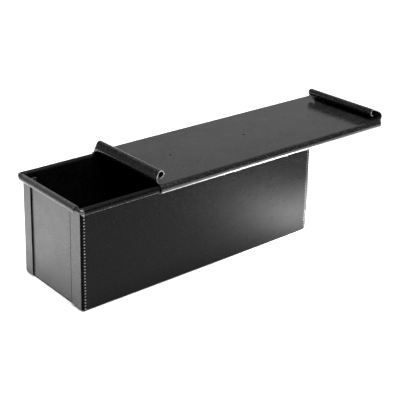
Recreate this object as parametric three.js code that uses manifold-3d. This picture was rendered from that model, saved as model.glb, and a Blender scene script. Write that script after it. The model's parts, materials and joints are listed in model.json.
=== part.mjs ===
// A loaf pan with a sliding lid, the kind that bakes square sandwich bread.
//
// The pan is made of bent sheet: one piece is the bottom and the two long walls, and a panel
// closes each end. Upright flaps of the long walls wrap round the corners onto the end panels,
// and the end panels have flanges that lie inside the long walls and on the bottom. The top
// edges are curled outward over one closed loop of wire. The lid is one more sheet. Its long
// edges curl under the pan's rim as hems, so it slides along the pan, and its ends are turned
// up and rolled inward as handles.
//
// Frame: millimetres, +X along the pan, +Z up, origin at the centre of the pan's underside.
// The lid stands a third of the way open, towards +X.

import * as THREE from 'three';
import { mergeVertices } from 'three/addons/utils/BufferGeometryUtils.js';
import Module from 'manifold-3d';

const wasm = await Module();
wasm.setup();

// Overall sizes of the pan, over the walls and to the top of the rim.
const PAN_LENGTH = 280;
const PAN_WIDTH = 97;
const PAN_HEIGHT = 101;

// Sheet, and the room left between two pieces that touch.
const SHEET = 0.9;
const JOINT_GAP = 0.3;
const BEND_RADIUS = 1.3; // to the middle of the sheet
const JOIN = 1; // how far two stretches of one sheet run into each other

// Rim wire, and the curl of sheet round it.
const WIRE_DIAMETER = 4.4;
const WIRE_CORNER_INSIDE = 0.4; // radius on the inside of its corners
const WIRE_SIDES = 16;
const CURL_END_ANGLE = -125; // degrees, 0 points away from the pan
const END_CURL_SETBACK = 5.8; // bare wire is left at each corner
const RIM_SKIRT = 3; // flat wall that a curl keeps below it at its ends

// Flaps of the long walls, on the outside of the end panels.
const FRONT_FLAP_WIDTH = 17.5;
const REAR_FLAP_WIDTH = 14;
const FLAP_BOTTOM_RISE = 6.3;

// Flanges of the end panels, on the inside of the pan.
const SIDE_FLANGE = 12;
const BOTTOM_FLANGE = 10;
const FLANGE_CORNER_NOTCH = 2;

// Lid.
const LID_OVERHANG = 4.7; // of the hems past each end of the rim, when closed
const LID_OPEN = 91.5; // how far the lid has been slid from closed
const LID_LIFT = 0.4; // room over and under the rim
const LID_SIDE_PLAY = 1; // room beside the rim
const HEM_END_ANGLE = -100; // degrees, 0 points away from the pan
const VENT_DIAMETER = 2.6;
const VENT_FROM_END = 53.7; // outer vents, from the ends of the hems
const VENT_COUNT = 3;
const VENT_SIDES = 24;

// Handles, measured from the end of the hems and from the middle of the lid's sheet.
const HANDLE_BEND_RADIUS = 4.5; // to the middle of the sheet
const HANDLE_ROLL_DIAMETER = 7.6; // over the sheet
const HANDLE_ROLL_HEIGHT = 8.7; // centre of the roll
const HANDLE_ROLL_END_ANGLE = 280; // degrees, 0 points away from the lid
const HANDLE_INSET = 2; // the roll is shorter than the flat of the lid, at each side
const HANDLE_FLARE_HEIGHT = 4;

// The two handles are bent by hand and differ in how far each bulges past the hems, and in how
// far in from the ends of the hems its roll stands.
const UPRIGHT_HANDLE = { bulge: 1.6, rollInset: 3.5 };
const LEANING_HANDLE = { bulge: 4, rollInset: 6.8 };

// Arcs are drawn in steps of this many degrees.
const ARC_STEP = 15;

// Sizes that follow from the ones above.
const halfSheet = SHEET / 2;
const wireRadius = WIRE_DIAMETER / 2;
const curlRadius = wireRadius + JOINT_GAP + halfSheet; // to the middle of the sheet
const rimRadius = curlRadius + halfSheet;
const bendOutside = BEND_RADIUS + halfSheet;

const wallY = PAN_WIDTH / 2 - halfSheet;
const flapX = PAN_LENGTH / 2 - halfSheet;
const panelX = flapX - SHEET - JOINT_GAP;
const flangeY = wallY - SHEET - JOINT_GAP;
const flangeZ = halfSheet + SHEET + JOINT_GAP;

const wireCornerRadius = WIRE_CORNER_INSIDE + wireRadius;
const wireX = panelX + curlRadius;
const wireY = wallY + curlRadius;
const wireZ = PAN_HEIGHT - rimRadius;
const rimX = wireX + rimRadius;
const rimY = wireY + rimRadius;
const rimBottom = wireZ - rimRadius;

const wallTop = rimBottom + halfSheet;
const flapTop = rimBottom - JOINT_GAP;
const wallEndX = PAN_LENGTH / 2 - bendOutside;
const longCurlEndX = wireX - wireCornerRadius;
const endCurlEndY = PAN_WIDTH / 2 - END_CURL_SETBACK;
const panelEndY = flangeY - BEND_RADIUS;

const hemRadius = rimRadius + LID_LIFT + halfSheet; // to the middle of the sheet
const hemY = rimY + LID_SIDE_PLAY + halfSheet - hemRadius;
const lidZ = wireZ + hemRadius;
const lidEnd = rimX + LID_OVERHANG; // of the hems, from the middle of the lid
const flatY = hemY - JOINT_GAP;
const rollRadius = HANDLE_ROLL_DIAMETER / 2 - halfSheet;
const handleHalfWidth = hemY - HANDLE_INSET;

const coatedSheet = new THREE.MeshStandardMaterial({ color: 0x2a2a2b, roughness: 0.38, metalness: 0.35 });
const endSheet = new THREE.MeshStandardMaterial({ color: 0x3a3a3b, roughness: 0.42, metalness: 0.35 });
const lidSheet = new THREE.MeshStandardMaterial({ color: 0x2e2e30, roughness: 0.3, metalness: 0.35 });
const wireSteel = new THREE.MeshStandardMaterial({ color: 0x55565a, roughness: 0.35, metalness: 0.9 });

// --- helpers -----------------------------------------------------------------------------

const point = (x, y) => new THREE.Vector2(x, y);

// Points of an arc, with both ends. Angles are in degrees.
function arc(centreX, centreY, radius, from, to) {
  const steps = Math.ceil(Math.abs(to - from) / ARC_STEP);
  const points = [];
  for (let i = 0; i <= steps; i += 1) {
    const angle = THREE.MathUtils.degToRad(from + ((to - from) * i) / steps);
    points.push(point(centreX + radius * Math.cos(angle), centreY + radius * Math.sin(angle)));
  }
  return points;
}

// A line and its mirror image in the vertical axis, as one line.
function mirrored(line) {
  const other = line.map((p) => point(-p.x, p.y)).reverse();
  return [...other, ...line];
}

// The outline of a bent sheet, from the line along the middle of the sheet.
function sheetOutline(line) {
  const left = [];
  const right = [];
  line.forEach((here, i) => {
    const before = line[Math.max(i - 1, 0)];
    const after = line[Math.min(i + 1, line.length - 1)];
    const arriving = (i === 0 ? after.clone().sub(here) : here.clone().sub(before)).normalize();
    const leaving = (i === line.length - 1 ? arriving.clone() : after.clone().sub(here)).normalize();
    const along = arriving.clone().add(leaving).normalize();
    const reach = halfSheet / along.dot(arriving);
    const aside = point(-along.y, along.x).multiplyScalar(reach);
    left.push(here.clone().add(aside));
    right.push(here.clone().sub(aside));
  });
  return [...left, ...right.reverse()];
}

function toSolid(geometry) {
  const bare = geometry.index ? geometry.toNonIndexed() : geometry;
  bare.deleteAttribute('normal');
  bare.deleteAttribute('uv');
  const merged = mergeVertices(bare, 1e-5);
  const mesh = new wasm.Mesh({
    numProp: 3,
    vertProperties: new Float32Array(merged.attributes.position.array),
    triVerts: new Uint32Array(merged.index.array),
  });
  return new wasm.Manifold(mesh);
}

function toGeometry(solid) {
  const { vertProperties, triVerts } = solid.getMesh();
  const geometry = new THREE.BufferGeometry();
  geometry.setAttribute('position', new THREE.BufferAttribute(vertProperties, 3));
  geometry.setIndex(new THREE.BufferAttribute(triVerts, 1));
  geometry.computeVertexNormals();
  return geometry;
}

const AXES = {
  x: new THREE.Matrix4().makeBasis(
    new THREE.Vector3(0, 1, 0), new THREE.Vector3(0, 0, 1), new THREE.Vector3(1, 0, 0)),
  y: new THREE.Matrix4().makeBasis(
    new THREE.Vector3(1, 0, 0), new THREE.Vector3(0, 0, 1), new THREE.Vector3(0, -1, 0)),
  z: new THREE.Matrix4(),
};

// An outline pushed along an axis. Its own two directions are Y and Z along x, X and Z along
// y, and X and Y along z.
function push(axis, outline, from, to) {
  const geometry = new THREE.ExtrudeGeometry(new THREE.Shape(outline), {
    depth: to - from,
    bevelEnabled: false,
  });
  geometry.translate(0, 0, axis === 'y' ? -to : from);
  return toSolid(geometry.applyMatrix4(AXES[axis]));
}

const sheet = (axis, line, from, to) => push(axis, sheetOutline(line), from, to);

const union = (solids) => solids.reduce((all, one) => all.add(one));

function named(name, solid, material) {
  const mesh = new THREE.Mesh(toGeometry(solid), material);
  mesh.name = name;
  return mesh;
}

// --- bottom and long walls ---------------------------------------------------------------

// The curl of a top edge round the wire, for a wall that stands at wireAcross - curlRadius.
const curl = (wireAcross) => arc(wireAcross, wireZ, curlRadius, 180, CURL_END_ANGLE);

// The section runs to the ends of the curls. Past the walls' ends only the rim is left of it.
function wrapTrough() {
  const bend = arc(wallY - BEND_RADIUS, halfSheet + BEND_RADIUS, BEND_RADIUS, -90, 0);
  const section = mirrored([...bend, ...curl(wireY)]);
  const below = mirrored([point(PAN_WIDTH, -JOIN), point(PAN_WIDTH, wireZ - RIM_SKIRT)]);
  return sheet('x', section, -longCurlEndX, longCurlEndX)
    .subtract(push('x', below, wallEndX, PAN_LENGTH))
    .subtract(push('x', below, -PAN_LENGTH, -wallEndX));
}

// An upright bend at a corner of the pan, and the flap beyond it on the end panel.
function wrapFlap(signX, signY) {
  const flapEdge = PAN_WIDTH / 2 - (signY > 0 ? REAR_FLAP_WIDTH : FRONT_FLAP_WIDTH);
  const bend = arc(flapX - BEND_RADIUS, wallY - BEND_RADIUS, BEND_RADIUS, 90, 0);
  const line = [point(wallEndX - JOIN, wallY), ...bend, point(flapX, flapEdge)];
  const placed = line.map((p) => point(p.x * signX, p.y * signY));
  const upright = sheet('z', placed, bendOutside, flapTop);
  const edgeY = flapEdge - JOIN;
  const cornerY = wallY - BEND_RADIUS;
  const slope = [
    point(edgeY, 0),
    point(cornerY, 0),
    point(cornerY, bendOutside),
    point(edgeY, bendOutside + FLAP_BOTTOM_RISE),
  ];
  const cut = slope.map((p) => point(p.x * signY, p.y));
  const from = signX > 0 ? wallEndX : -PAN_LENGTH / 2 - JOIN;
  const to = signX > 0 ? PAN_LENGTH / 2 + JOIN : -wallEndX;
  return upright.subtract(push('x', cut, from, to));
}

function bodyWrap() {
  const parts = [wrapTrough()];
  for (const signX of [-1, 1]) {
    for (const signY of [-1, 1]) {
      parts.push(wrapFlap(signX, signY));
    }
  }
  return union(parts);
}

// --- end panels --------------------------------------------------------------------------

// The end panel at +X. The one at -X is the same piece, turned round. Its curl is shorter than
// the panel, so the ends of the curl are cut off.
function endPanel() {
  const bottomBend = arc(panelX - BEND_RADIUS, flangeZ + BEND_RADIUS, BEND_RADIUS, -90, 0);
  const plate = [point(panelX - BOTTOM_FLANGE, flangeZ), ...bottomBend, ...curl(wireX)];
  const aboveTop = [
    point(0, wallTop),
    point(PAN_LENGTH, wallTop),
    point(PAN_LENGTH, PAN_HEIGHT + JOIN),
    point(0, PAN_HEIGHT + JOIN),
  ];
  const sideBend = arc(panelX - BEND_RADIUS, flangeY - BEND_RADIUS, BEND_RADIUS, 0, 90);
  const side = [point(panelX, panelEndY - JOIN), ...sideBend, point(panelX - SIDE_FLANGE, flangeY)];
  const sideBottom = flangeZ + bendOutside + FLANGE_CORNER_NOTCH;
  return union([
    sheet('y', plate, -panelEndY, panelEndY)
      .subtract(push('y', aboveTop, -PAN_WIDTH, -endCurlEndY))
      .subtract(push('y', aboveTop, endCurlEndY, PAN_WIDTH)),
    sheet('z', side, sideBottom, wallTop),
    sheet('z', side.map((p) => point(p.x, -p.y)), sideBottom, wallTop),
  ]);
}

// --- rim wire ----------------------------------------------------------------------------

// The middle line of the wire: a rectangle with round corners, as one closed curve whose
// stops are the ends of its straights and the points of its corner arcs.
class RimPath extends THREE.Curve {
  constructor() {
    super();
    const across = wireX - wireCornerRadius;
    const aside = wireY - wireCornerRadius;
    const corners = [[1, 1, 0], [-1, 1, 90], [-1, -1, 180], [1, -1, 270]];
    this.stops = corners.flatMap(([signX, signY, from]) => (
      arc(across * signX, aside * signY, wireCornerRadius, from, from + 90)));
  }

  getPointAt(u) {
    const stop = this.stops[Math.round(u * this.stops.length) % this.stops.length];
    return new THREE.Vector3(stop.x, stop.y, wireZ);
  }

  getTangentAt(u) {
    const count = this.stops.length;
    const here = Math.round(u * count) % count;
    const before = this.stops[(here + count - 1) % count];
    const after = this.stops[(here + 1) % count];
    const arriving = this.stops[here].clone().sub(before).normalize();
    const leaving = after.clone().sub(this.stops[here]).normalize();
    const along = arriving.add(leaving).normalize();
    return new THREE.Vector3(along.x, along.y, 0);
  }
}

function rimWire() {
  const path = new RimPath();
  return toSolid(new THREE.TubeGeometry(path, path.stops.length, wireRadius, WIRE_SIDES, true));
}

// --- lid, drawn closed, centred on the pan -------------------------------------------------

function lidSheetWithHems() {
  const hem = arc(hemY, wireZ, hemRadius, 90, HEM_END_ANGLE);
  return sheet('x', mirrored(hem), -lidEnd, lidEnd);
}

// The middle line of a handle at the +X end: out along the lid, up round the bend, straight
// to the roll on the line that touches both circles, and over the roll.
function handleLine({ bulge, rollInset }) {
  const bend = point(lidEnd + bulge - HANDLE_BEND_RADIUS, lidZ + HANDLE_BEND_RADIUS);
  const roll = point(lidEnd - rollInset, lidZ + HANDLE_ROLL_HEIGHT);
  const between = roll.clone().sub(bend);
  const turn = Math.acos((HANDLE_BEND_RADIUS - rollRadius) / between.length());
  const touch = THREE.MathUtils.radToDeg(between.angle() - turn);
  return [
    point(bend.x - JOIN, lidZ),
    ...arc(bend.x, bend.y, HANDLE_BEND_RADIUS, -90, touch),
    ...arc(roll.x, roll.y, rollRadius, touch, HANDLE_ROLL_END_ANGLE),
  ];
}

// What the handle is cut to, seen from the end: narrow at the roll, flaring to the hems.
function handleOutline() {
  return mirrored([
    point(flatY, lidZ - SHEET),
    point(flatY, lidZ + halfSheet),
    point(handleHalfWidth, lidZ + HANDLE_FLARE_HEIGHT),
    point(handleHalfWidth, lidZ + HANDLE_ROLL_HEIGHT + HANDLE_ROLL_DIAMETER),
  ]);
}

function lidHandle(shape) {
  const flatEnd = lidEnd + shape.bulge - HANDLE_BEND_RADIUS;
  const farthest = lidEnd + shape.bulge + SHEET;
  const rolled = sheet('y', handleLine(shape), -hemY, hemY);
  const within = push('x', handleOutline(), lidEnd / 2, farthest);
  return { solid: rolled.intersect(within), flatEnd };
}

// The flat of the lid ends where a handle's bend begins, and only the hems go on.
function flatBeyond(flatEnd) {
  const outline = mirrored([point(flatY, lidZ - SHEET), point(flatY, lidZ + SHEET)]);
  return push('x', outline, flatEnd, lidEnd + JOIN);
}

function ventHole(index) {
  const through = SHEET + 2 * JOIN;
  const hole = new THREE.CylinderGeometry(VENT_DIAMETER / 2, VENT_DIAMETER / 2, through, VENT_SIDES);
  hole.rotateX(Math.PI / 2);
  const outermost = lidEnd - VENT_FROM_END;
  hole.translate(outermost * (1 - (2 * index) / (VENT_COUNT - 1)), 0, lidZ);
  return toSolid(hole);
}

function lid() {
  const leaning = lidHandle(LEANING_HANDLE);
  const upright = lidHandle(UPRIGHT_HANDLE);
  let solid = lidSheetWithHems();
  solid = solid.subtract(flatBeyond(leaning.flatEnd)).add(leaning.solid);
  solid = solid.rotate([0, 0, 180]);
  solid = solid.subtract(flatBeyond(upright.flatEnd)).add(upright.solid);
  solid = solid.rotate([0, 0, 180]);
  for (let i = 0; i < VENT_COUNT; i += 1) {
    solid = solid.subtract(ventHole(i));
  }
  return solid;
}

// --- assembly ----------------------------------------------------------------------------

const loafPan = new THREE.Group();

loafPan.add(named('body_wrap', bodyWrap(), coatedSheet));
loafPan.add(named('rim_wire', rimWire(), wireSteel));

const panel = endPanel();
loafPan.add(named('end_panel_rear', panel, endSheet));
const frontPanel = named('end_panel_front', panel, endSheet);
frontPanel.rotation.z = Math.PI;
loafPan.add(frontPanel);

const slidingLid = named('sliding_lid', lid(), lidSheet);
slidingLid.position.x = LID_OPEN;
loafPan.add(slidingLid);

export default loafPan;
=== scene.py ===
# %% [markdown]
# # A loaf pan with a sliding lid
# This lesson builds the fine surface of a bread pan round a finished engineering model. The
# model comes from the CAD program as a fixed frame: it says where every piece is, how large it
# is and what moves. Here the same pieces are made again as thin bent sheet, and they get their
# black baked coating. All lengths are in metres, +X runs along the pan and +Z is up.

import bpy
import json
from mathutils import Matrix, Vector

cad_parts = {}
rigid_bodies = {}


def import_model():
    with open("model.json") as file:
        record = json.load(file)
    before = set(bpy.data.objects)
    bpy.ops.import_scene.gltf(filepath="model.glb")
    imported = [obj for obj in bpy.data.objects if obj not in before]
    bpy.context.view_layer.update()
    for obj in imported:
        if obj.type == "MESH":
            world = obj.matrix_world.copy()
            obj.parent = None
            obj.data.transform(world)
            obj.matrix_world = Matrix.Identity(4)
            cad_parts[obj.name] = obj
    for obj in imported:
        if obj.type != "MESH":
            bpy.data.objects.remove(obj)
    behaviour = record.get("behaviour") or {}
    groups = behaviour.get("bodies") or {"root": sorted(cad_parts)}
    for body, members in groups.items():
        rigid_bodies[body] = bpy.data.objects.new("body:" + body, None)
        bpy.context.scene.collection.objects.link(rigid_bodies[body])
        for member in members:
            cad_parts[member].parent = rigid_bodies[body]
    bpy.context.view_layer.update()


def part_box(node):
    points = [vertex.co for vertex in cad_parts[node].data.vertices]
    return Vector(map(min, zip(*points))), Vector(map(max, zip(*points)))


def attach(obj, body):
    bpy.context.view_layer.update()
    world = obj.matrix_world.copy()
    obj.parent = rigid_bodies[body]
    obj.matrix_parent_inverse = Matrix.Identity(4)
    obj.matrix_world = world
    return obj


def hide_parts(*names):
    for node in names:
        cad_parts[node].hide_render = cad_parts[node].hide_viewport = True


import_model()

# %% Libraries and units
import json
import math

import bmesh
import bpy
from mathutils import Vector

MM = 0.001

# %% [markdown]
# ## The sizes that everything follows
# Four of the pieces are the same 0.9 mm steel sheet, so one thickness drives every bend. The
# rim wire's box gives the place of the rim, and the lid's box gives the ends of the lid. The
# walls, the end panels and the curls follow from the wire and the thickness of the sheet.
# Distances are to the middle of the sheet, because Solidify will give it its thickness on
# both sides of that middle surface.

# %% Sizes of the sheet and the rim
SHEET = 0.9 * MM
SEAM_GAP = 0.3 * MM
BEND_RADIUS = 1.3 * MM
CURL_TURN = 305

wire_low, wire_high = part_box("rim_wire")
lid_low, lid_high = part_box("sliding_lid")

half = SHEET / 2
wire_radius = (wire_high.z - wire_low.z) / 2
wire_z = (wire_high.z + wire_low.z) / 2
wire_x = wire_high.x - wire_radius
wire_y = wire_high.y - wire_radius
curl_radius = wire_radius + SEAM_GAP + half
wall_y = wire_y - curl_radius
panel_x = wire_x - curl_radius
flap_x = panel_x + SHEET + SEAM_GAP
wall_end_x = flap_x - BEND_RADIUS
flap_top = wire_z - curl_radius - half - SEAM_GAP
print("walls at", round(wall_y / MM, 2), "panels at", round(panel_x / MM, 2), "mm")

# %% [markdown]
# ## Working as by hand
# Every piece starts as one flat plane at its size and place. In edit mode, edges are picked by
# where they lie, and then pulled out straight (extrude) or turned round an axis (spin), just as
# a folding bench and a curling tool form a blank. These helpers hold the few steps that repeat.

# %% Helpers for picking and pulling edges
NEAR = 0.02 * MM
BEND_STEP = 15
CURL_STEP = 10


def near(a, b):
    return abs(a - b) < NEAR


def start_sheet(name, low, high, z):
    bpy.ops.object.select_all(action="DESELECT")
    centre = ((low[0] + high[0]) / 2, (low[1] + high[1]) / 2, z)
    size = (high[0] - low[0], high[1] - low[1], 1)
    bpy.ops.mesh.primitive_plane_add(size=1, location=centre)
    piece = bpy.context.object
    piece.name = name
    bpy.ops.transform.resize(value=size, center_override=centre)
    bpy.ops.object.transform_apply(location=True, rotation=True, scale=True)
    bpy.ops.object.mode_set(mode="EDIT")
    return piece


def pick(piece, kind, inside, more=False):
    """Selects the parts whose corners are all inside, or adds them to what is selected."""
    bpy.ops.mesh.select_mode(type=kind)
    if not more:
        bpy.ops.mesh.select_all(action="DESELECT")
    mesh = bmesh.from_edit_mesh(piece.data)
    parts = {"VERT": mesh.verts, "EDGE": mesh.edges, "FACE": mesh.faces}[kind]
    for part in parts:
        corners = [part] if kind == "VERT" else part.verts
        if all(inside(corner.co) for corner in corners):
            part.select_set(True)
    bmesh.update_edit_mesh(piece.data)
    return sum(part.select for part in parts)


def pull(move):
    bpy.ops.mesh.extrude_edges_move(TRANSFORM_OT_translate={"value": move})


def push(move):
    bpy.ops.transform.translate(value=move)


def turn(centre, axis, degrees, step=CURL_STEP):
    """Spins the picked edges. Positive degrees follow the right hand round the axis."""
    steps = max(1, math.ceil(abs(degrees) / step))
    bpy.ops.mesh.spin(
        steps=steps, angle=-math.radians(degrees), center=centre, axis=axis, use_auto_merge=False
    )


def cut(place, normal):
    bpy.ops.mesh.bisect(plane_co=place, plane_no=normal)


# %% [markdown]
# ## From a surface to real sheet
# Solidify gives the bent surface its 0.9 mm. It also puts the narrow faces of the cut edges on
# a second material, because there the bare steel shows where the coating has worn off. A very
# small bevel then rounds those edges, as a shear and a deburring wheel leave them, and weighted
# normals let the large flats look flat beside those narrow roundings. The faces are turned the
# same way before the sheet gets its thickness, so that Solidify can lay its two walls by them.

# %% Helpers for finishing a sheet
EDGE_ROUNDING = 0.12 * MM
EDGE_ANGLE = math.radians(50)
SMOOTH_ANGLE = math.radians(32)


def apply_modifier(piece, kind, **settings):
    modifier = piece.modifiers.new(kind.title(), kind)
    for name, value in settings.items():
        setattr(modifier, name, value)
    bpy.ops.object.modifier_apply(modifier=modifier.name)


def paint(piece, material):
    piece.active_material_index = piece.data.materials.find(material.name)
    bpy.ops.object.material_slot_assign()


def leave_edit_mode():
    bpy.ops.mesh.select_all(action="SELECT")
    bpy.ops.mesh.remove_doubles(threshold=0.001 * MM)
    bpy.ops.mesh.normals_make_consistent(inside=False)
    bpy.ops.object.mode_set(mode="OBJECT")


def thicken(piece, even=True):
    """Even thickness suits plain bends. At pointed corners it would grow spikes."""
    apply_modifier(
        piece, "SOLIDIFY", thickness=SHEET, offset=0, use_even_offset=even, material_offset_rim=1
    )


def round_edges(piece):
    apply_modifier(
        piece, "BEVEL", width=EDGE_ROUNDING, segments=2, limit_method="ANGLE",
        angle_limit=EDGE_ANGLE, use_clamp_overlap=True,
    )
    bpy.ops.object.shade_smooth_by_angle(angle=SMOOTH_ANGLE)
    apply_modifier(piece, "WEIGHTED_NORMAL", keep_sharp=True)


def take_place(piece, body, slot, *nodes):
    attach(piece, body)
    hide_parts(*nodes)
    low = [round(min(v.co[i] for v in piece.data.vertices) / MM, 2) for i in range(3)]
    high = [round(max(v.co[i] for v in piece.data.vertices) / MM, 2) for i in range(3)]
    print(piece.name, "from", low, "to", high, "mm,", len(piece.data.polygons), "faces")


# %% [markdown]
# ## Black baked coating
# Bread pans often have a dark silicone or fluoropolymer glaze that is baked on. It isn't one flat
# black: the film is a little thicker and thinner over a few centimetres, it has a fine speckle,
# and its surface has the faint orange peel of a sprayed film over sheet that is never quite
# flat. A separate noise does each of these at its own scale. They read Object coordinates, so
# the pattern stays on the metal wherever the piece moves.

# %% Helpers for node materials
def start_material(name):
    material = bpy.data.materials.new(name)
    material.use_nodes = True
    shader = material.node_tree.nodes["Principled BSDF"]
    place = material.node_tree.nodes.new("ShaderNodeTexCoord")
    return material, shader, place.outputs["Object"]


def noise(material, place, scale, detail, roughness=0.5):
    node = material.node_tree.nodes.new("ShaderNodeTexNoise")
    node.inputs["Scale"].default_value = scale
    node.inputs["Detail"].default_value = detail
    node.inputs["Roughness"].default_value = roughness
    material.node_tree.links.new(place, node.inputs["Vector"])
    return node.outputs["Fac"]


def spread(material, value, low, high, to_low, to_high):
    """Stretches a value between low and high to a new range."""
    node = material.node_tree.nodes.new("ShaderNodeMapRange")
    names = ("From Min", "From Max", "To Min", "To Max")
    for name, number in zip(names, (low, high, to_low, to_high)):
        node.inputs[name].default_value = number
    material.node_tree.links.new(value, node.inputs["Value"])
    return node.outputs["Result"]


def mix_colours(material, amount, colour_a, colour_b):
    node = material.node_tree.nodes.new("ShaderNodeMix")
    node.data_type = "RGBA"
    for socket, colour in ((node.inputs[6], colour_a), (node.inputs[7], colour_b)):
        if isinstance(colour, tuple):
            socket.default_value = (*colour, 1)
        else:
            material.node_tree.links.new(colour, socket)
    material.node_tree.links.new(amount, node.inputs["Factor"])
    return node.outputs[2]


def maths(material, operation, *values):
    node = material.node_tree.nodes.new("ShaderNodeMath")
    node.operation = operation
    for socket, value in zip(node.inputs, values):
        if isinstance(value, float):
            socket.default_value = value
        else:
            material.node_tree.links.new(value, socket)
    return node.outputs["Value"]


def bump(material, height, distance, under=None):
    node = material.node_tree.nodes.new("ShaderNodeBump")
    node.inputs["Strength"].default_value = 1
    node.inputs["Distance"].default_value = distance
    material.node_tree.links.new(height, node.inputs["Height"])
    if under is not None:
        material.node_tree.links.new(under, node.inputs["Normal"])
    return node.outputs["Normal"]


# %% [markdown]
# ## A painted highlight under the hems and curls
# The undersides of the hems and of the rim's curls get a narrow band of light bare steel. It is a
# painted highlight: it stands for the bright line that the floor's reflection draws along them.
# The band lies between two heights, well outside the walls, and a noise makes its edges ragged.
# That it is there, and how wide it is, are guesses.

# %% The painted highlight band
HIGHLIGHT_RAGGED_SCALE = 90
HIGHLIGHT_RAGGED = 0.3 * MM
HIGHLIGHT_EDGE = 0.25 * MM
HIGHLIGHT_STEEL = (0.45, 0.45, 0.46)


def painted_highlight_band(material, place, axis, low, high, beyond):
    """One where the highlight is painted: between two heights, and far enough from the middle."""
    parts = material.node_tree.nodes.new("ShaderNodeSeparateXYZ")
    material.node_tree.links.new(place, parts.inputs["Vector"])
    # Painted highlight: a ragged band of light steel, not wear.
    ragged = noise(material, place, HIGHLIGHT_RAGGED_SCALE, 4, 0.7)
    ragged = spread(material, ragged, 0, 1, -HIGHLIGHT_RAGGED, HIGHLIGHT_RAGGED)
    height = maths(material, "ADD", parts.outputs["Z"], ragged)
    above = spread(material, height, low - HIGHLIGHT_EDGE, low + HIGHLIGHT_EDGE, 0, 1)
    below = spread(material, height, high - HIGHLIGHT_EDGE, high + HIGHLIGHT_EDGE, 1, 0)
    aside = maths(material, "ABSOLUTE", parts.outputs[axis])
    outside = maths(material, "GREATER_THAN", aside, beyond)
    return maths(material, "MULTIPLY", maths(material, "MULTIPLY", above, below), outside)


# %% The coating and its layers
FILM_SCALE = 26
SHEEN_SCALE = 3 * FILM_SCALE
SPECKLE_SCALE = 620
PEEL_SCALE = 520
SHEET_WAVE_SCALE = 9


def coating(name, thin, thick, fleck, rough, gloss, peel, wave, painted_highlight=None):
    """A baked coating: its thin and thick film colours, its flecks, and how smooth it lies."""
    material, shader, place = start_material(name)
    film = noise(material, place, FILM_SCALE, 5, 0.6)
    film = spread(material, film, 0.35, 0.65, 0, 1)
    body = mix_colours(material, film, thin, thick)
    speckle = noise(material, place, SPECKLE_SCALE, 2)
    flecks = spread(material, speckle, 0.55, 0.72, 0, 1)
    colour = mix_colours(material, flecks, body, fleck)
    sheen = noise(material, place, SHEEN_SCALE, 4, 0.65)
    roughness = spread(material, sheen, 0.3, 0.7, *rough)
    waves = bump(material, noise(material, place, SHEET_WAVE_SCALE, 1), wave)
    grain = bump(material, noise(material, place, PEEL_SCALE, 2), peel, under=waves)
    links = material.node_tree.links
    # A painted highlight band, if given, mixes light bare steel and metal into the colour.
    if painted_highlight is not None:
        highlight_amount = painted_highlight_band(material, place, *painted_highlight)
        colour = mix_colours(material, highlight_amount, colour, HIGHLIGHT_STEEL)
        links.new(highlight_amount, shader.inputs["Metallic"])
    links.new(colour, shader.inputs["Base Color"])
    links.new(roughness, shader.inputs["Roughness"])
    links.new(grain, shader.inputs["Normal"])
    shader.inputs["Specular IOR Level"].default_value = gloss
    return material


# %% [markdown]
# ## Bare steel
# Shearing leaves bright steel on a cut edge, and an electrode burnishes the spot it presses. Both
# are made as bare steel with rests of coating. The rim wire is made as drawn steel, darkened by
# baking.

# %% Worn steel and drawn wire
REST_SCALE = 420
BARE_STEEL = (0.32, 0.32, 0.33)
COATING_REST = (0.05, 0.05, 0.052)
METALLIC_BARE_TO_REST = (0.9, 0.1)
ROUGH_BARE_TO_REST = (0.32, 0.45)
WIRE_TINT_SCALE = 160
WIRE_LIGHT = (0.10, 0.10, 0.102)
WIRE_DARK = (0.03, 0.03, 0.03)
WIRE_METALLIC = 0.8
WIRE_ROUGH = (0.22, 0.38)
STEEL_GRAIN_SCALE = 2200
WIRE_GRAIN_SCALE = 1800
GRAIN_DEPTH = 0.02 * MM


def worn_edge(name, bare_below, coated_above):
    """Bare steel, with rests of coating where the noise is high."""
    material, shader, place = start_material(name)
    rests = noise(material, place, REST_SCALE, 4, 0.7)
    rests = spread(material, rests, bare_below, coated_above, 0, 1)
    colour = mix_colours(material, rests, BARE_STEEL, COATING_REST)
    metal = spread(material, rests, 0, 1, *METALLIC_BARE_TO_REST)
    roughness = spread(material, rests, 0, 1, *ROUGH_BARE_TO_REST)
    links = material.node_tree.links
    links.new(colour, shader.inputs["Base Color"])
    links.new(metal, shader.inputs["Metallic"])
    links.new(roughness, shader.inputs["Roughness"])
    grain = noise(material, place, STEEL_GRAIN_SCALE, 3)
    links.new(bump(material, grain, GRAIN_DEPTH), shader.inputs["Normal"])
    return material


def drawn_wire(name):
    """Steel wire with a fine grain, darkened unevenly by baking."""
    material, shader, place = start_material(name)
    tint = noise(material, place, WIRE_TINT_SCALE, 4, 0.6)
    tint = spread(material, tint, 0.35, 0.65, 0, 1)
    colour = mix_colours(material, tint, WIRE_LIGHT, WIRE_DARK)
    links = material.node_tree.links
    links.new(colour, shader.inputs["Base Color"])
    links.new(spread(material, tint, 0, 1, *WIRE_ROUGH), shader.inputs["Roughness"])
    grain = noise(material, place, WIRE_GRAIN_SCALE, 3)
    links.new(bump(material, grain, GRAIN_DEPTH), shader.inputs["Normal"])
    shader.inputs["Metallic"].default_value = WIRE_METALLIC
    return material


# %% [markdown]
# ## The finishes of this pan
# The long walls are the darkest and the least glossy, the ends are greyer, and the lid is the
# smoothest. The greyer ends are painted light: they get a lighter copy of the coating, which
# stands for the stronger light on the end faces. The corner bends get painted shade and the free
# edges of the flaps a painted shadow line, both in a dull near-black copy of the coating. The
# walls' and the lid's gloss are guesses at how the coating of such a pan wears.

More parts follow.
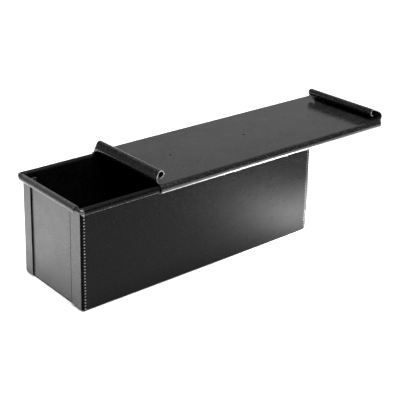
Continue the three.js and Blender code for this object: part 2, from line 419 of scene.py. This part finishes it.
# %% The materials
# Heights and widths of the painted highlights under the curls and hems.
BEAD_FOOT = wire_z - curl_radius - half
BEAD_HIGHLIGHT = 1.4 * MM
END_BEAD_HIGHLIGHT = 1.3 * MM
HEM_HIGHLIGHT_FOOT = BEAD_FOOT - 1 * MM
HEM_HIGHLIGHT = 2.7 * MM
BEAD_SIDE = 50 * MM
END_BEAD_SIDE = 142 * MM

# The pan's coating carries a painted highlight under its curls.
pan_coating = coating(
    "black coating of the pan",
    thin=(0.0016, 0.0016, 0.0016), thick=(0.003, 0.003, 0.003), fleck=(0.008, 0.008, 0.008),
    rough=(0.25, 0.28), gloss=0.08, peel=0.020 * MM, wave=0.2 * MM,
    painted_highlight=("Y", BEAD_FOOT, BEAD_FOOT + BEAD_HIGHLIGHT, BEAD_SIDE),
)
# A lighter, glossier copy of the coating: painted light for the brighter end faces.
end_coating = coating(
    # Its band under the short curls is a painted highlight.
    "lighter coating of the ends, painted light",
    thin=(0.020, 0.020, 0.020), thick=(0.032, 0.032, 0.032), fleck=(0.07, 0.07, 0.07),
    rough=(0.26, 0.38), gloss=0.5, peel=0.06 * MM, wave=0.25 * MM,
    painted_highlight=("X", BEAD_FOOT, BEAD_FOOT + END_BEAD_HIGHLIGHT, END_BEAD_SIDE),
)
# The lid's coating carries a painted highlight under its hems.
lid_coating = coating(
    "smooth black coating of the lid",
    thin=(0.006, 0.006, 0.0062), thick=(0.011, 0.011, 0.0112), fleck=(0.035, 0.035, 0.036),
    rough=(0.13, 0.20), gloss=0.5, peel=0.05 * MM, wave=0.20 * MM,
    painted_highlight=("Y", HEM_HIGHLIGHT_FOOT, HEM_HIGHLIGHT_FOOT + HEM_HIGHLIGHT, BEAD_SIDE),
)
# A dull near-black copy of the coating: painted shade in the corner bends,
painted_shade_coating = coating(
    # and a painted shadow line along the flaps' free edges.
    "painted shade in the bends and along the flap edges",
    thin=(0.0008, 0.0008, 0.0008), thick=(0.0014, 0.0014, 0.0014), fleck=(0.002, 0.002, 0.002),
    rough=(0.5, 0.6), gloss=0.03, peel=0.010 * MM, wave=0.1 * MM,
)
edge_steel = worn_edge("worn steel of the cut edges", bare_below=0.4, coated_above=0.62)
weld_steel = worn_edge("burnished weld marks", bare_below=0.47, coated_above=0.68)
wire_steel = drawn_wire("darkened drawn wire")
print("materials:", [material.name for material in bpy.data.materials])

# %% [markdown]
# ## Body of the pan
# The bottom and the two long walls are one blank. We start with the flat bottom, spin its long
# edges a quarter turn for the bottom bends, pull the walls up, and spin the top edges most of
# the way round the rim wire. The ends of these curls are pushed a little further into the
# corners. Then each wall gets two flaps: its upright edges are spun round the pan's corner and
# pulled on along the end. The last strip of each flap stays separate, because it gets a painted
# shadow line.

# %% Bottom, walls and curls
FRONT_FLAP = 17.5 * MM
REAR_FLAP = 14 * MM
FLAP_RISE = 6.3 * MM
CURL_REACH = 2 * MM
REAR_REACH = 1.2 * MM

bottom_y = wall_y - BEND_RADIUS
wall_foot = half + BEND_RADIUS
pan = start_sheet("pan_body", (-wall_end_x, -bottom_y), (wall_end_x, bottom_y), half)
for side in (-1, 1):
    pick(pan, "EDGE", lambda p: near(p.y, side * bottom_y))
    turn((0, side * bottom_y, wall_foot), (1, 0, 0), side * 90, BEND_STEP)
    pull((0, 0, flap_top - wall_foot))
    pull((0, 0, wire_z - flap_top))
    turn((0, side * wire_y, wire_z), (1, 0, 0), -side * CURL_TURN)
print("bottom, two walls and two curls:", len(bmesh.from_edit_mesh(pan.data).faces), "faces")

# %% Curl ends, reaching into the corners
for side in (-1, 1):
    pick(pan, "VERT", lambda p: near(p.x, side * wall_end_x) and abs(p.y) > wall_y + SHEET)
    push((side * CURL_REACH, 0, 0))
pick(pan, "VERT", lambda p: p.x < -wall_end_x - NEAR and p.y > wall_y + SHEET)
push((-REAR_REACH, 0, 0))
print("curl ends moved by", CURL_REACH / MM, "mm, one of them by", REAR_REACH / MM, "mm more")

# %% Flaps round the corners
SHADOW_LINE_STRIP = 0.8 * MM

corner_y = wall_y - BEND_RADIUS
outer_y = wall_y + half
for side_x in (-1, 1):
    for side_y in (-1, 1):
        flap_edge = outer_y - (REAR_FLAP if side_y > 0 else FRONT_FLAP)
        pick(pan, "EDGE", lambda p: near(p.x, side_x * wall_end_x)
             and near(p.y, side_y * wall_y) and wall_foot - NEAR < p.z < flap_top + NEAR)
        turn((side_x * wall_end_x, side_y * corner_y, 0), (0, 0, 1), -side_x * side_y * 90, BEND_STEP)
        # The strip pulled last along each flap will carry a painted shadow line.
        pull((0, side_y * (flap_edge + SHADOW_LINE_STRIP - corner_y), 0))
        pull((0, -side_y * SHADOW_LINE_STRIP, 0))
        pick(pan, "VERT", lambda p: near(p.y, side_y * flap_edge) and near(p.z, wall_foot)
             and near(p.x, side_x * flap_x))
        push((0, 0, FLAP_RISE))
print("with four flaps:", len(bmesh.from_edit_mesh(pan.data).faces), "faces")

# %% [markdown]
# ## Weld marks
# Near each end of the long walls is a close row of small dents, such as a roller spot-welder
# leaves where it joins a wall to the end panel's flange. Two upright cuts mark out a strip, its
# long edges are divided into equal cells, and every second cell is inset twice: once to leave a
# rim of flat wall, and once more, pushed in, for the dent itself.

# %% Rows of small dents
WELD_INSET = 3.3 * MM
WELD_WIDTH = 1.9 * MM
WELD_PITCH = 2.97 * MM
WELD_RIM = 0.22 * MM
WELD_SLOPE = 0.25 * MM
WELD_DEPTH = 0.2 * MM

row_x = flap_x + half - WELD_INSET
row_lines = (row_x - WELD_WIDTH / 2, row_x + WELD_WIDTH / 2)
row_cells = 2 * round((flap_top - wall_foot) / WELD_PITCH)
cell_height = (flap_top - wall_foot) / row_cells


def on_wall(p):
    return near(abs(p.y), wall_y) and wall_foot - NEAR < p.z < flap_top + NEAR


for side in (-1, 1):
    for line in row_lines:
        pick(pan, "FACE", on_wall)
        cut((side * line, 0, 0), (1, 0, 0))
for side in (-1, 1):
    bpy.ops.mesh.select_all(action="DESELECT")
    for line in row_lines:
        pick(pan, "EDGE", lambda p: on_wall(p) and near(p.x, side * line), more=True)
    bpy.ops.mesh.subdivide(number_cuts=row_cells - 1)
bpy.ops.mesh.select_all(action="SELECT")
bpy.ops.mesh.normals_make_consistent(inside=False)
bpy.ops.mesh.select_all(action="DESELECT")
for side in (-1, 1):
    cells = pick(
        pan, "FACE", more=True,
        inside=lambda p: on_wall(p) and abs(p.x * side - row_x) < WELD_WIDTH / 2 + NEAR,
    )
mesh = bmesh.from_edit_mesh(pan.data)
for face in mesh.faces:
    if int((face.calc_center_median().z - wall_foot) / cell_height) % 2:
        face.select_set(False)
bmesh.update_edit_mesh(pan.data)
faces = [face for face in mesh.faces if face.select]
outward = sum(face.normal.y * face.calc_center_median().y for face in faces) > 0
# Of these, the lighter end coating is painted light, the dull one painted shade.
for material in (pan_coating, edge_steel, end_coating, weld_steel, painted_shade_coating):
    pan.data.materials.append(material)
bpy.ops.mesh.inset(thickness=WELD_RIM, use_individual=True)
paint(pan, weld_steel)
bpy.ops.mesh.inset(
    thickness=WELD_SLOPE, depth=-WELD_DEPTH if outward else WELD_DEPTH, use_individual=True
)
print("weld dents:", len(faces), "of", cells, "cells")

# %% Painted light on the ends, painted shade in the bends and along the flaps
# The end faces of the flaps get the lighter coating: painted light.
pick(pan, "FACE", lambda p: near(abs(p.x), flap_x))
paint(pan, end_coating)
# The corner bends get painted shade.
pick(pan, "FACE", lambda p: wall_end_x - NEAR < abs(p.x) < flap_x + NEAR
     and corner_y - NEAR < abs(p.y) < wall_y + NEAR and wall_foot - NEAR < p.z < flap_top + NEAR)
paint(pan, painted_shade_coating)
# The last strip of each flap gets a painted shadow line.
for side_y, flap_width in ((-1, FRONT_FLAP), (1, REAR_FLAP)):
    flap_edge = outer_y - flap_width
    pick(pan, "FACE", lambda p: near(abs(p.x), flap_x)
         and flap_edge - NEAR < p.y * side_y < flap_edge + SHADOW_LINE_STRIP + NEAR)
    paint(pan, painted_shade_coating)
print("finishes on the body:", [material.name for material in pan.data.materials])

# %% The body becomes sheet
leave_edit_mode()
thicken(pan)
round_edges(pan)
take_place(pan, "pan", "pan_coating", "body_wrap")

# %% [markdown]
# ## End panels
# An end panel is a plate with a flange on three sides and a curl on the fourth. The side
# flanges lie inside the long walls, where the welds hold them, and the bottom flange lies on
# the pan's bottom. We make the bottom flange first, turn it up into the plate, spin the upright
# edges inwards for the side flanges, and spin the top over the wire. The curl is shorter than
# the plate, which leaves bare wire at the corners. At one end it reaches further, and less wire
# is bare there. The other panel is a copy, turned half round.

# %% One end panel
BOTTOM_FLANGE = 10 * MM
SIDE_FLANGE = 12 * MM
CORNER_NOTCH = 2 * MM
CURL_SETBACK = 5.8 * MM
LONG_END = 4 * MM

flange_z = half + SHEET + SEAM_GAP
plate_foot = flange_z + BEND_RADIUS
flange_foot = plate_foot + half + CORNER_NOTCH
plate_y = wall_y - SHEET - SEAM_GAP - BEND_RADIUS
curl_end_y = outer_y - CURL_SETBACK
plate_top = flap_top + SEAM_GAP
bend_x = panel_x - BEND_RADIUS
flange_x = panel_x - BOTTOM_FLANGE

end_rear = start_sheet("end_wall_rear", (flange_x, -plate_y), (bend_x, plate_y), flange_z)
for side in (-1, 1):
    bpy.ops.mesh.select_all(action="SELECT")
    cut((0, side * curl_end_y, 0), (0, 1, 0))
pick(end_rear, "EDGE", lambda p: near(p.x, bend_x))
turn((bend_x, 0, plate_foot), (0, 1, 0), -90, BEND_STEP)
pull((0, 0, flange_foot - plate_foot))
pull((0, 0, plate_top - flange_foot))
pick(end_rear, "EDGE", lambda p: near(p.z, plate_top) and abs(p.y) < curl_end_y + NEAR)
pull((0, 0, wire_z - plate_top))
turn((wire_x, 0, wire_z), (0, 1, 0), CURL_TURN)
pick(end_rear, "VERT", lambda p: p.x > panel_x + SHEET and near(p.y, -curl_end_y))
push((0, -LONG_END, 0))
for side in (-1, 1):
    pick(end_rear, "EDGE", lambda p: near(p.x, panel_x) and near(p.y, side * plate_y)
         and p.z > flange_foot - NEAR)
    turn((bend_x, side * plate_y, 0), (0, 0, 1), side * 90, BEND_STEP)
    pull((BEND_RADIUS - SIDE_FLANGE, 0, 0))
print("end panel:", len(bmesh.from_edit_mesh(end_rear.data).faces), "faces")

# %% The panel becomes sheet, and its copy closes the other end
leave_edit_mode()
# The panel carries the lighter coating: painted light.
end_rear.data.materials.append(end_coating)
end_rear.data.materials.append(edge_steel)
thicken(end_rear)
round_edges(end_rear)
bpy.ops.object.duplicate()
end_front = bpy.context.object
end_front.name = "end_wall_front"
bpy.ops.transform.rotate(value=math.pi, orient_axis="Z", center_override=(0, 0, 0))
bpy.ops.object.transform_apply(location=True, rotation=True, scale=True)
take_place(end_rear, "pan", "end_coating", "end_panel_rear")
take_place(end_front, "pan", "end_coating", "end_panel_front")

# %% [markdown]
# ## Rim wire
# The wire is one closed loop that stiffens the top of the pan. A plane of the loop's size has
# its four corners rounded and loses its face. What is left is the middle line of the wire,
# which becomes a curve, gets its round section there, and turns back into a mesh.

# %% The loop of wire
WIRE_CORNER = 2.6 * MM

wire = start_sheet("rim_rod", (-wire_x, -wire_y), (wire_x, wire_y), wire_z)
bpy.ops.mesh.bevel(affect="VERTICES", offset=WIRE_CORNER, offset_type="OFFSET", segments=8)
bpy.ops.mesh.delete(type="ONLY_FACE")
bpy.ops.object.mode_set(mode="OBJECT")
bpy.ops.object.convert(target="CURVE")
wire = bpy.context.object
wire.data.bevel_depth = wire_radius
wire.data.bevel_resolution = 5
bpy.ops.object.convert(target="MESH")
wire = bpy.context.object
bpy.ops.object.mode_set(mode="EDIT")
leave_edit_mode()
bpy.ops.object.shade_smooth()
wire.data.materials.append(wire_steel)
take_place(wire, "pan", "wire_steel", "rim_wire")

# %% [markdown]
# ## Sliding lid
# The lid is one blank as well. Its long edges are spun down round the rim as hems, loose enough
# to slide. Its short edges are the handles: a bend upwards, a straight wall that touches both
# circles, and a roll inwards, so that no cut edge meets the fingers. The two handles aren't
# bent alike. One stands nearly upright, the other leans in over the lid.

# %% Lid sheet and hems
LID_LIFT = 0.4 * MM
HEM_TURN = 190
HANDLE_BEND = 4.5 * MM
UPRIGHT_BULGE = 1.6 * MM
LEANING_BULGE = 4 * MM

hem_radius = curl_radius + half + LID_LIFT + half
hem_y = lid_high.y - half - hem_radius
lid_z = wire_z + hem_radius
hem_start = lid_low.x + half + UPRIGHT_BULGE
hem_end = lid_high.x - half - LEANING_BULGE
flat_start = hem_start - UPRIGHT_BULGE + HANDLE_BEND
flat_end = hem_end + LEANING_BULGE - HANDLE_BEND

lid = start_sheet("lid_sheet", (flat_start, -hem_y), (flat_end, hem_y), lid_z)
for side in (-1, 1):
    pick(lid, "EDGE", lambda p: near(p.y, side * hem_y))
    turn((0, side * hem_y, wire_z), (1, 0, 0), -side * HEM_TURN)
for end, reach in ((flat_start, hem_start - flat_start), (flat_end, hem_end - flat_end)):
    pick(lid, "VERT", lambda p: near(p.x, end) and p.z < lid_z - NEAR)
    push((reach, 0, 0))
print("lid from", round(hem_start / MM, 1), "to", round(hem_end / MM, 1), "mm between the hem ends")

# %% [markdown]
# ## Rolled handles
# Every row of a handle starts as wide as the flat. Then the ends of each row are moved a little
# sideways: outwards where the wall leaves the hems, as pressed sheet spreads, and inwards
# towards the roll, as on a blank that is trimmed narrower there.

# %% Handle helpers
ROLL_RADIUS = 3.8 * MM - half
ROLL_HEIGHT = 8.7 * MM
ROLL_END = 280
TRIM_SETTLES = 0.8
WEB_ROWS = 7
ROW_NEAR = 0.05 * MM
OFF_THE_FLAT = 0.2 * MM


def handle_circles(start, out, roll_x):
    """Centres of a handle's bend and roll, as (x, z), and the angle at which its wall leaves them."""
    bend = Vector((start, lid_z + HANDLE_BEND))
    roll = Vector((roll_x, lid_z + ROLL_HEIGHT))
    gap = roll - bend
    lean = math.degrees(math.atan2(gap.y, gap.x * out))
    touch = lean - math.degrees(math.acos((HANDLE_BEND - ROLL_RADIUS) / gap.length))
    return bend, roll, touch


def join_corner(start, out, hem_stop, side, bend_step):
    """Bridges the lowest rows of a handle's side edge to the end of the hem."""
    reach_up = HANDLE_BEND * (1 - math.cos(math.radians((WEB_ROWS + 0.5) * bend_step)))
    reach_down = hem_radius * (1 - math.cos(math.radians((WEB_ROWS + 0.5) * CURL_STEP)))
    pick(lid, "EDGE", lambda p: near(p.y, side * hem_y) and (p.x - start) * out > OFF_THE_FLAT
         and lid_z < p.z < lid_z + reach_up)
    pick(lid, "EDGE", lambda p: near(p.x, hem_stop) and p.y * side > hem_y + NEAR
         and p.z > lid_z - reach_down, more=True)
    bpy.ops.mesh.bridge_edge_loops()
    first_up = HANDLE_BEND * (1 - math.cos(math.radians(1.5 * bend_step)))
    first_down = hem_radius * (1 - math.cos(math.radians(1.5 * CURL_STEP)))
    pick(lid, "VERT", lambda p: near(p.y, side * hem_y) and (p.x - start) * out > -NEAR
         and lid_z - NEAR < p.z < lid_z + first_up)
    pick(lid, "VERT", lambda p: near(p.x, hem_stop) and p.y * side > hem_y + NEAR
         and p.z > lid_z - first_down, more=True)
    bpy.ops.mesh.edge_face_add()


def roll_handle(start, out, hem_stop, roll_x, flare, trim_front, trim_rear):
    bend, roll, touch = handle_circles(start, out, roll_x)
    pick(lid, "EDGE", lambda p: near(p.x, start) and near(p.z, lid_z))
    turn((bend.x, 0, bend.y), (0, 1, 0), -out * (90 + touch))
    step = Vector((math.cos(math.radians(touch)) * out, math.sin(math.radians(touch))))
    wall = roll + step * ROLL_RADIUS - (bend + step * HANDLE_BEND)
    pull((wall.x, 0, wall.y))
    turn((roll.x, 0, roll.y), (0, 1, 0), -out * (ROLL_END - touch))
    wall_rows = math.ceil((90 + touch) / CURL_STEP)
    for side in (-1, 1):
        join_corner(start, out, hem_stop, side, (90 + touch) / wall_rows)
    places = []
    for i in range(1, wall_rows + 1):
        places.append((bend, HANDLE_BEND, -90 + (90 + touch) * i / wall_rows))
    roll_rows = math.ceil((ROLL_END - touch) / CURL_STEP)
    for i in range(roll_rows + 1):
        places.append((roll, ROLL_RADIUS, touch + (ROLL_END - touch) * i / roll_rows))
    for i, (centre, radius, angle) in enumerate(places):
        x = centre.x + radius * math.cos(math.radians(angle)) * out
        z = centre.y + radius * math.sin(math.radians(angle))
        done = min(1, (i + 1) / (wall_rows + 1))
        settled = min(1, done / TRIM_SETTLES)
        eased = settled * settled * (3 - 2 * settled)
        swell = flare * math.sin(math.pi * done)
        for side, trim in ((-1, trim_front), (1, trim_rear)):
            pick(lid, "VERT", lambda p: near(p.y, side * hem_y) and abs(p.x - x) < ROW_NEAR
                 and abs(p.z - z) < ROW_NEAR)
            push((0, side * (swell - trim * eased), 0))


# %% The two handles
UPRIGHT_ROLL_INSET = 3.5 * MM
UPRIGHT_FLARE = 1.2 * MM
UPRIGHT_TRIMS = (2 * MM, 4 * MM)
LEANING_ROLL_INSET = 6.8 * MM
LEANING_FLARE = 2.6 * MM
LEANING_TRIMS = (2 * MM, 8 * MM)

upright_x = hem_start + UPRIGHT_ROLL_INSET
leaning_x = hem_end - LEANING_ROLL_INSET
roll_handle(flat_start, -1, hem_start, upright_x, UPRIGHT_FLARE, *UPRIGHT_TRIMS)
roll_handle(flat_end, 1, hem_end, leaning_x, LEANING_FLARE, *LEANING_TRIMS)
print("lid with both handles:", len(bmesh.from_edit_mesh(lid.data).faces), "faces")

# %% [markdown]
# ## Vents
# Three small holes along the middle of the lid can let steam out. Straight cuts first mark out a
# small patch round each of them, so that the rest of the flat keeps its simple shape. After the
# sheet has its thickness, three short cylinders are cut through it.

# %% Patches for the vents
VENT_RADIUS = 1.3 * MM
VENT_SIDES = 24
VENT_FROM_END = 53.7 * MM
VENT_PATCH = 4 * MM

vent_places = (hem_start + VENT_FROM_END, (hem_start + hem_end) / 2, hem_end - VENT_FROM_END)
for side in (-1, 1):
    for x in vent_places:
        bpy.ops.mesh.select_all(action="SELECT")
        cut((x + side * VENT_PATCH, 0, 0), (1, 0, 0))
    bpy.ops.mesh.select_all(action="SELECT")
    cut((0, side * VENT_PATCH, 0), (0, 1, 0))
print("vents at", [round(x / MM, 1) for x in vent_places], "mm")

# %% Thickness, vents and rounded edges
leave_edit_mode()
lid.data.materials.append(lid_coating)
lid.data.materials.append(edge_steel)
thicken(lid, even=False)
for x in vent_places:
    bpy.ops.object.select_all(action="DESELECT")
    bpy.ops.mesh.primitive_cylinder_add(
        vertices=VENT_SIDES, radius=VENT_RADIUS, depth=4 * SHEET, location=(x, 0, lid_z)
    )
    punch = bpy.context.object
    punch.data.materials.append(lid_coating)
    bpy.ops.object.select_all(action="DESELECT")
    bpy.context.view_layer.objects.active = lid
    lid.select_set(True)
    apply_modifier(lid, "BOOLEAN", operation="DIFFERENCE", object=punch, material_mode="TRANSFER")
    bpy.data.objects.remove(punch)
round_edges(lid)
take_place(lid, "lid", "lid_coating", "sliding_lid")

# %% [markdown]
# ## Studio
# The pan stands on a plain white floor under soft light. Black glossy sheet shows mostly what
# it mirrors, so its surroundings draw its tones: the long wall mirrors the floor in front of it,
# the end mirrors the floor beside it, and the lid mirrors the air behind it.

# %% Floor
FLOOR_SIZE = 12
FLOOR_WHITE = (0.92, 0.92, 0.92, 1)
FLOOR_ROUGH = 0.9
FLOOR_GLOSS = 0.2

bpy.ops.object.select_all(action="DESELECT")
bpy.ops.mesh.primitive_plane_add(size=FLOOR_SIZE, location=(0, 0, 0))
floor = bpy.context.object
floor.name = "studio_floor"
floor_paint, floor_shader = start_material("matt white floor")[:2]
floor_shader.inputs["Base Color"].default_value = FLOOR_WHITE
floor_shader.inputs["Roughness"].default_value = FLOOR_ROUGH
floor_shader.inputs["Specular IOR Level"].default_value = FLOOR_GLOSS
floor.data.materials.append(floor_paint)

# %% [markdown]
# ## Lamps
# One large soft box hangs high over the pan. Two small ones hang low over the floor, one in
# front of the long wall and one beside the open end, and face straight down. They mainly
# brighten the floor, and the sheet mirrors those bright pools. Neither of the two lamps is
# mirrored itself, and no lamp is seen by the camera.

# %% Lamps
def soft_box(name, place, target, width, height, power, mirrored=False):
    bpy.ops.object.light_add(type="AREA", location=place)
    lamp = bpy.context.object
    lamp.name = name
    lamp.rotation_euler = (Vector(target) - Vector(place)).to_track_quat("-Z", "Y").to_euler()
    lamp.data.shape = "RECTANGLE"
    lamp.data.size = width
    lamp.data.size_y = height
    lamp.data.energy = power
    lamp.visible_camera = False
    lamp.visible_glossy = mirrored


soft_box("overhead", (0.05, -0.5, 3.0), (0.05, 0, 0), 2.4, 2.4, power=225, mirrored=True)
soft_box("right pool", (0.16, -0.09, 0.06), (0.16, -0.09, 0), 0.06, 0.06, power=0.75)
soft_box("left pool", (-0.24, 0.13, 0.09), (-0.24, 0.13, 0), 0.16, 0.26, power=0.24)
bpy.context.scene.view_settings.view_transform = "Standard"

# %% [markdown]
# ## Air of the studio
# Black sheet needs something dark to mirror, or it turns grey. So the air is dark above, a little
# lighter near the horizon, and has one large pale screen in the direction that the lid mirrors.

# %% Dark air with a pale screen
AIR_DARK = 0.06
WALL_GLOW = 0.25
WALL_TOP = (0.12, 0.2)
SCREEN_GLOW = 0.45
SCREEN_SIDE = (0.57, 0.66, 0.41)
SCREEN_EDGE = (0.72, 0.9)

world = bpy.data.worlds.new("studio air")
bpy.context.scene.world = world
world.use_nodes = True
air = world.node_tree


def ease(value, from_range, to_range):
    node = air.nodes.new("ShaderNodeMapRange")
    node.interpolation_type = "SMOOTHSTEP"
    names = ("From Min", "From Max", "To Min", "To Max")
    for name, number in zip(names, (*from_range, *to_range)):
        node.inputs[name].default_value = number
    air.links.new(value, node.inputs["Value"])
    return node.outputs["Result"]


direction = air.nodes.new("ShaderNodeTexCoord").outputs["Generated"]
height = air.nodes.new("ShaderNodeSeparateXYZ")
air.links.new(direction, height.inputs["Vector"])
wall_glow = ease(height.outputs["Z"], WALL_TOP, (WALL_GLOW, AIR_DARK))
towards = air.nodes.new("ShaderNodeVectorMath")
towards.operation = "DOT_PRODUCT"
towards.inputs[1].default_value = SCREEN_SIDE
air.links.new(direction, towards.inputs[0])
screen_glow = ease(towards.outputs["Value"], SCREEN_EDGE, (AIR_DARK, SCREEN_GLOW))
brighter = air.nodes.new("ShaderNodeMath")
brighter.operation = "MAXIMUM"
air.links.new(wall_glow, brighter.inputs[0])
air.links.new(screen_glow, brighter.inputs[1])
air.links.new(brighter.outputs["Value"], air.nodes["Background"].inputs["Strength"])
air.nodes["Background"].inputs["Color"].default_value = (1, 1, 1, 1)

# %% [markdown]
# ## Camera
# A long lens looks at the pan's corner from a little above. It is level enough for the upright
# edges to stay almost parallel, and the shift brings the pan back to the middle of the frame.

# %% Camera
CAMERA_AIM = Vector((39.1, 8.7, 147.6)) * MM
CAMERA_DISTANCE = 995.1 * MM
CAMERA_AZIMUTH = math.radians(-40.24)
CAMERA_PITCH = math.radians(18.11)
CAMERA_ROLL = math.radians(1.2)
CAMERA_LENS = 90.71
CAMERA_SHIFT = -0.25

bpy.ops.object.camera_add()
camera = bpy.context.object
back = Vector((
    math.sin(CAMERA_AZIMUTH) * math.cos(CAMERA_PITCH),
    -math.cos(CAMERA_AZIMUTH) * math.cos(CAMERA_PITCH),
    math.sin(CAMERA_PITCH),
))
camera.location = CAMERA_AIM + back * CAMERA_DISTANCE
camera.rotation_euler = back.to_track_quat("Z", "Y").to_euler()
camera.rotation_euler.rotate_axis("Z", CAMERA_ROLL)
camera.data.lens = CAMERA_LENS
camera.data.shift_y = CAMERA_SHIFT
bpy.context.scene.camera = camera
